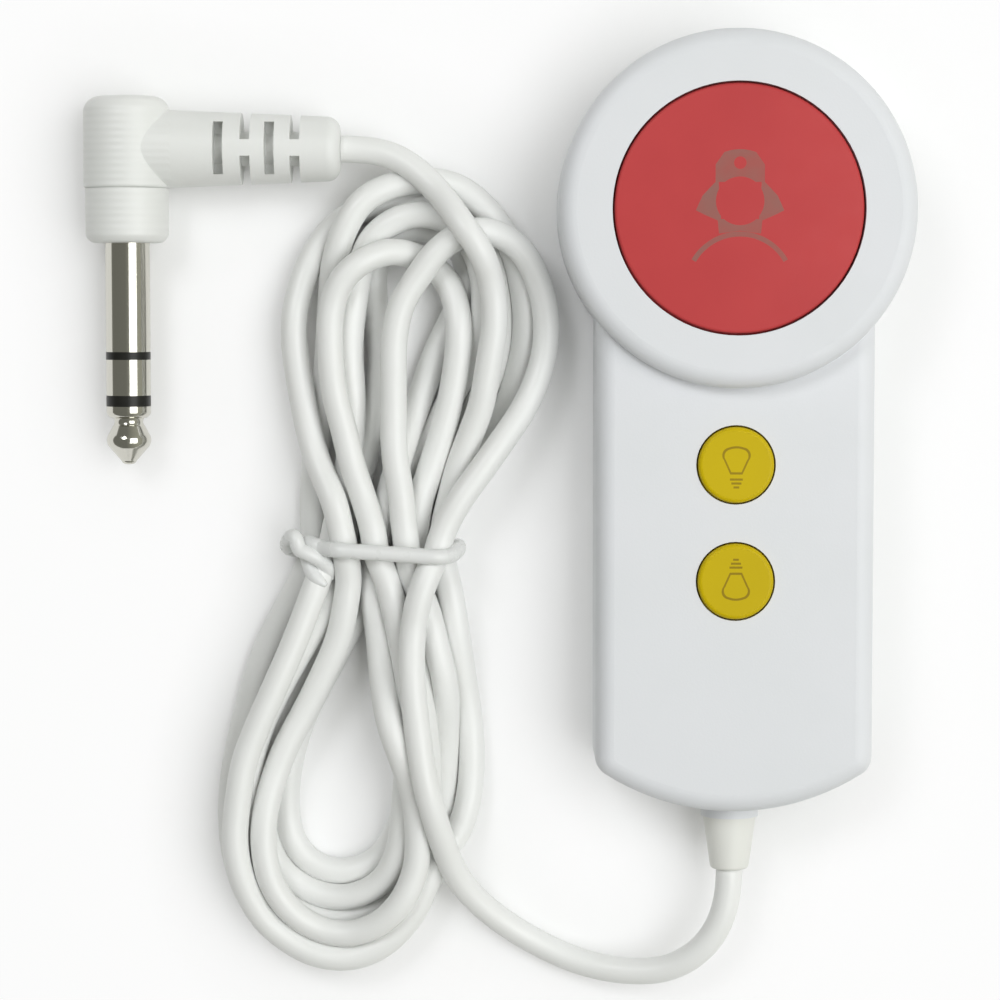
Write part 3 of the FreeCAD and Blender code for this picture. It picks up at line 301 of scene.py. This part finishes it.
class Nodes:
    """One Principled material and short ways to add nodes to it; lengths are in millimetres."""

    def __init__(self, name, colour, roughness, **values):
        self.material = bpy.data.materials.new(name)
        self.material.use_nodes = True
        self.tree = self.material.node_tree
        self.shader = self.tree.nodes["Principled BSDF"]
        self.colour = (*colour, 1)
        self.set("Base Color", self.colour)
        self.set("Roughness", roughness)
        for key, value in values.items():
            self.set(key.replace("_", " "), value)
        self.place = self.tree.nodes.new("ShaderNodeTexCoord").outputs["Object"]
        self.normal = None

    def set(self, name, value):
        self.shader.inputs[name].default_value = value

    def new(self, kind, **values):
        node = self.tree.nodes.new("ShaderNode" + kind)
        for key, value in values.items():
            if key in node.inputs:
                node.inputs[key].default_value = value
            else:
                setattr(node, key, value)
        return node

    def link(self, start, end):
        self.tree.links.new(start, end)

    def noise(self, size, detail, stretch=(1, 1, 1)):
        """Noise with features about size millimetres across."""
        mapping = self.new("Mapping")
        scale = 1 / (size * MM)
        mapping.inputs["Scale"].default_value = [scale / s for s in stretch]
        self.link(self.place, mapping.inputs["Vector"])
        noise = self.new("TexNoise", Scale=1.0, Detail=detail)
        self.link(mapping.outputs["Vector"], noise.inputs["Vector"])
        return noise.outputs["Fac"]

    def spread(self, factor, low, high):
        """Maps the middle of a noise to the range from low to high."""
        node = self.new("MapRange")
        for key, value in (("From Min", noise_low), ("From Max", noise_high), ("To Min", low), ("To Max", high)):
            node.inputs[key].default_value = value
        self.link(factor, node.inputs["Value"])
        return node.outputs["Result"]

    def vary_colour(self, factor, other):
        """Lets the colour drift between the base colour and another one."""
        ramp = self.new("ValToRGB")
        ramp.color_ramp.elements[0].position = noise_low
        ramp.color_ramp.elements[1].position = noise_high
        ramp.color_ramp.elements[0].color = self.colour
        ramp.color_ramp.elements[1].color = (*other, 1)
        self.link(factor, ramp.inputs["Fac"])
        self.link(ramp.outputs["Color"], self.shader.inputs["Base Color"])

    def vary_roughness(self, factor, low, high):
        self.link(self.spread(factor, low, high), self.shader.inputs["Roughness"])

    def rings(self, end_x, pitch, height):
        """Fine rings that follow one another along Y, on what lies to the left of end_x."""
        parts = self.new("SeparateXYZ")
        self.link(self.place, parts.inputs[0])
        phase = self.new("Math", operation="MULTIPLY")
        phase.inputs[1].default_value = 2 * math.pi / (pitch * MM)
        self.link(parts.outputs["Y"], phase.inputs[0])
        wave = self.new("Math", operation="SINE")
        self.link(phase.outputs[0], wave.inputs[0])
        there = self.new("Math", operation="LESS_THAN")
        there.inputs[1].default_value = end_x * MM
        self.link(parts.outputs["X"], there.inputs[0])
        both = self.new("Math", operation="MULTIPLY")
        self.link(wave.outputs[0], both.inputs[0])
        self.link(there.outputs[0], both.inputs[1])
        self.bump(both.outputs[0], height)

    def bump(self, factor, height):
        """Adds relief of the given height in millimetres on top of what is there."""
        node = self.new("Bump", Distance=height * MM, Strength=1.0)
        self.link(factor, node.inputs["Height"])
        if self.normal is not None:
            self.link(self.normal, node.inputs["Normal"])
        self.normal = node.outputs["Normal"]
        self.link(self.normal, self.shader.inputs["Normal"])


def moulded(name, colour, drift, roughness, grain, depth, spread=0.05, drift_size=14, **values):
    """Moulded plastic: a fine grain, a slow drift of colour, and patches that are a little smoother."""
    m = Nodes(name, colour, roughness, **values)
    m.vary_colour(m.noise(drift_size, 3), drift)
    m.vary_roughness(m.noise(3, 4), roughness - spread, roughness + spread)
    m.bump(m.noise(grain, 3), depth)
    return m


def metal(name, colour, roughness, size, stretch, depth, spread=0.06, **values):
    """Bare or plated metal with faint turning or drawing marks."""
    m = Nodes(name, colour, roughness, Metallic=1.0, **values)
    marks = m.noise(size, 4, stretch)
    m.vary_roughness(marks, max(roughness - spread, 0.04), roughness + spread)
    m.bump(marks, depth)
    return m


def dress(material, *names):
    """Gives nodes of the part a material in place of their plain ones."""
    for name in names:
        node = nodes[name]
        for slot in node.material_slots:
            slot.material = material
        if not node.material_slots:
            node.data.materials.append(material)


# Each has its colour, the one it drifts to and its roughness, then the size and depth of its grain in millimetres.
housing = moulded("housing_white", (0.78, 0.79, 0.82), (0.76, 0.775, 0.80), 0.50, 0.30, 0.012)
red = moulded("call_red", (0.56, 0.060, 0.062), (0.525, 0.054, 0.057), 0.48, 0.25, 0.006, Specular_IOR_Level=0.2)
yellow = moulded("lamp_yellow", (0.62, 0.46, 0.002), (0.58, 0.43, 0.002), 0.40, 0.25, 0.006,
                 Specular_IOR_Level=0.15)
print_grey = moulded("print_grey", (0.39, 0.105, 0.092), (0.31, 0.135, 0.115), 0.55, 0.15, 0.004, drift_size=5,
                     Specular_IOR_Level=0.2)
print_olive = moulded("print_olive", (0.34, 0.23, 0.003), (0.30, 0.20, 0.003), 0.5, 0.15, 0.004,
                      Specular_IOR_Level=0.2)
relief = moulded("relief_cream", (0.83, 0.83, 0.79), (0.80, 0.80, 0.76), 0.42, 0.4, 0.010)
jacket = moulded("cord_white", (0.88, 0.885, 0.875), (0.855, 0.86, 0.845), 0.38, 0.5, 0.010, spread=0.07)
tie = moulded("tie_white", (0.84, 0.845, 0.84), (0.81, 0.82, 0.815), 0.28, 0.4, 0.008)
plug = moulded("plug_white", (0.84, 0.845, 0.83), (0.81, 0.82, 0.80), 0.40, 0.35, 0.010)
plug.rings(end_x=-79.3, pitch=1.0, height=0.02)
nickel = metal("contact_nickel", (0.62, 0.61, 0.55), 0.12, 0.05, (6, 1, 6), 0.0015, spread=0.04)
insulator = moulded("insulator_black", (0.012, 0.012, 0.010), (0.018, 0.018, 0.015), 0.34, 0.3, 0.004,
                    Specular_IOR_Level=0.3)
steel = metal("steel", (0.56, 0.56, 0.56), 0.30, 0.12, (1, 1, 6), 0.003)
spring = metal("spring_steel", (0.50, 0.49, 0.47), 0.24, 0.10, (5, 5, 1), 0.002)
board = moulded("board_green", (0.03, 0.20, 0.09), (0.022, 0.16, 0.07), 0.26, 0.6, 0.012)
switch = moulded("switch_black", (0.03, 0.03, 0.03), (0.045, 0.045, 0.045), 0.46, 0.2, 0.008)
plunger = moulded("plunger_grey", (0.25, 0.25, 0.26), (0.22, 0.22, 0.23), 0.46, 0.2, 0.008)
wires = moulded("wire_insulation", (0.35, 0.04, 0.03), (0.30, 0.03, 0.025), 0.34, 0.3, 0.004)
resistor = moulded("resistor_tan", (0.55, 0.42, 0.25), (0.50, 0.37, 0.21), 0.28, 0.3, 0.006)

dress(housing.material, "front_cover", "back_cover")
dress(red.material, "call_cap")
dress(yellow.material, "lamp_cap_upper", "lamp_cap_lower")
dress(print_grey.material, "nurse_symbol")
dress(print_olive.material, "lamp_symbol_upper", "lamp_symbol_lower")
dress(relief.material, "strain_relief")
dress(jacket.material, "cord_handset_end", "cord_plug_end", "cord_lead", "cord_hank", "cord_plug_lead")
dress(tie.material, "cord_tie")
dress(plug.material, "plug_housing", "plug_collar")
dress(nickel.material, "plug_sleeve", "plug_ring", "plug_tip")
dress(insulator.material, "plug_rear_insulator", "plug_front_insulator")
dress(steel.material, "cover_screws", "board_screws", "clamp_screws")
dress(spring.material, "return_spring")
dress(board.material, "circuit_board")
dress(switch.material, "call_switch", "lamp_switch_upper", "lamp_switch_lower", "cord_clamp")
dress(plunger.material, "call_plunger", "lamp_plunger_upper", "lamp_plunger_lower")
dress(wires.material, "handset_wires", "plug_wires")
dress(resistor.material, "coding_resistors")

route = cord_points()
cord = spline_piece("cord", route, cord_diameter)
cord.data.materials.append(jacket.material)
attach(cord, "handset")
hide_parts("cord_lead", "cord_hank", "cord_plug_lead")

band = spline_piece("tie", tie_points(at_tie(route)), tie_diameter, end_shares=(0.3, 0.7))
band.data.materials.append(tie.material)
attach(band, "handset")
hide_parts("cord_tie")


def seen_rays(tree):
    """An output that is 1 for the rays that show the background: direct, reflected or through glass."""
    path = tree.nodes.new("ShaderNodeLightPath")
    seen = path.outputs["Is Camera Ray"]
    for kind in ("Is Glossy Ray", "Is Transmission Ray"):
        either = tree.nodes.new("ShaderNodeMath")
        either.operation = "MAXIMUM"
        tree.links.new(seen, either.inputs[0])
        tree.links.new(path.outputs[kind], either.inputs[1])
        seen = either.outputs[0]
    return seen


def stage():
    """The pale floor: near white where it is seen and pale to the light that it bounces; in narrow gaps an
    occlusion mask takes its glow away, which paints shade there on top of the real shade.
    """
    mesh = bpy.data.meshes.new("floor")
    half = 1.5
    mesh.from_pydata([(-half, -half, 0), (half, -half, 0), (half, half, 0), (-half, half, 0)], [], [(0, 1, 2, 3)])
    floor = bpy.data.objects.new("floor", mesh)
    bpy.context.collection.objects.link(floor)
    surface = Nodes("floor", (0.95, 0.95, 0.95), 0.8, Specular_IOR_Level=0.1)
    # Painted shade: the glow that whitens the floor is scaled by ambient occlusion raised to a power, so it fades
    # in narrow gaps and leaves them dark.
    gap_width, painted_shade_contrast, most_glow = 0.015, 2.5, 0.85
    open_sky = surface.new("AmbientOcclusion", Distance=gap_width, samples=8)
    painted_shade_mask = surface.new("Math", operation="POWER")
    painted_shade_mask.inputs[1].default_value = painted_shade_contrast
    surface.link(open_sky.outputs["AO"], painted_shade_mask.inputs[0])
    floor_glow = surface.new("Math", operation="MULTIPLY")
    floor_glow.inputs[1].default_value = most_glow
    surface.link(painted_shade_mask.outputs[0], floor_glow.inputs[0])
    share = surface.new("Math", operation="MULTIPLY")
    surface.link(seen_rays(surface.tree), share.inputs[0])
    surface.link(floor_glow.outputs[0], share.inputs[1])
    glow = surface.new("Emission", Color=white, Strength=1.0)
    mix = surface.new("MixShader")
    surface.link(share.outputs[0], mix.inputs[0])
    surface.link(surface.shader.outputs[0], mix.inputs[1])
    surface.link(glow.outputs[0], mix.inputs[2])
    surface.link(mix.outputs[0], surface.tree.nodes["Material Output"].inputs["Surface"])
    mesh.materials.append(surface.material)


def lamp(name, place, aim, length, width, power):
    """A slightly cool rectangular lamp that shines from its place to its aim; metres and watts."""
    light = bpy.data.lights.new(name, "AREA")
    light.shape = "RECTANGLE"
    light.size = length
    light.size_y = width
    light.energy = power
    light.color = (0.97, 0.985, 1)
    holder = bpy.data.objects.new(name, light)
    holder.location = place
    holder.rotation_euler = (Vector(aim) - Vector(place)).to_track_quat("-Z", "Y").to_euler()
    bpy.context.collection.objects.link(holder)


def world():
    """A dim room, olive grey at the left and brighter at the right, with a white background low down."""
    scene = bpy.context.scene
    scene.world = scene.world or bpy.data.worlds.new("world")
    scene.world.use_nodes = True
    tree = scene.world.node_tree
    background = tree.nodes["Background"]
    way = tree.nodes.new("ShaderNodeTexCoord")
    parts = tree.nodes.new("ShaderNodeSeparateXYZ")
    tree.links.new(way.outputs["Generated"], parts.inputs[0])
    across = tree.nodes.new("ShaderNodeMapRange")
    across.inputs["From Min"].default_value = -1
    tree.links.new(parts.outputs["X"], across.inputs["Value"])
    ramp = tree.nodes.new("ShaderNodeValToRGB")
    ramp.color_ramp.elements[0].position = 0.45
    ramp.color_ramp.elements[0].color = (0.20, 0.20, 0.18, 1)
    ramp.color_ramp.elements[1].position = 0.85
    ramp.color_ramp.elements[1].color = (0.42, 0.42, 0.36, 1)
    tree.links.new(across.outputs["Result"], ramp.inputs["Fac"])
    room_from, background_to = 0.14, 0.09      # heights of the direction, between which white turns into room
    low = tree.nodes.new("ShaderNodeMapRange")
    low.inputs["From Min"].default_value = room_from
    low.inputs["From Max"].default_value = background_to
    tree.links.new(parts.outputs["Z"], low.inputs["Value"])
    share = tree.nodes.new("ShaderNodeMath")
    share.operation = "MULTIPLY"
    tree.links.new(seen_rays(tree), share.inputs[0])
    tree.links.new(low.outputs["Result"], share.inputs[1])
    mix = tree.nodes.new("ShaderNodeMix")
    mix.data_type = "RGBA"
    mix.inputs["B"].default_value = white
    tree.links.new(share.outputs[0], mix.inputs["Factor"])
    tree.links.new(ramp.outputs["Color"], mix.inputs["A"])
    tree.links.new(mix.outputs["Result"], background.inputs["Color"])


def camera():
    """The photo's view: from above the middle, tilted a little, through a lens of 3040 pixels' focal length."""
    data = bpy.data.cameras.new("camera")
    data.sensor_fit = "HORIZONTAL"
    half_picture, focal_length = 500, 3040      # in pixels of the photo
    data.angle = 2 * math.atan(half_picture / focal_length)
    holder = bpy.data.objects.new("camera", data)
    place, aim = Vector((-0.0329, 0.0187, 0.440)), Vector((-0.0329, -0.0103, 0.008))
    back = (place - aim).normalized()
    right = Vector((0, 1, 0)).cross(back).normalized()
    holder.matrix_world = Matrix((right, back.cross(right), back)).transposed().to_4x4()
    holder.location = place
    bpy.context.collection.objects.link(holder)
    bpy.context.scene.camera = holder


stage()
world()
centre = (-0.033, -0.01, 0.0)
lamp("key", place=(0.39, -0.01, 0.74), aim=centre, length=0.8, width=0.6, power=4.6)
lamp("fill", place=(-0.35, 0.40, 0.74), aim=centre, length=0.3, width=0.3, power=2.0)
camera()
bpy.context.scene.view_settings.view_transform = "Standard"
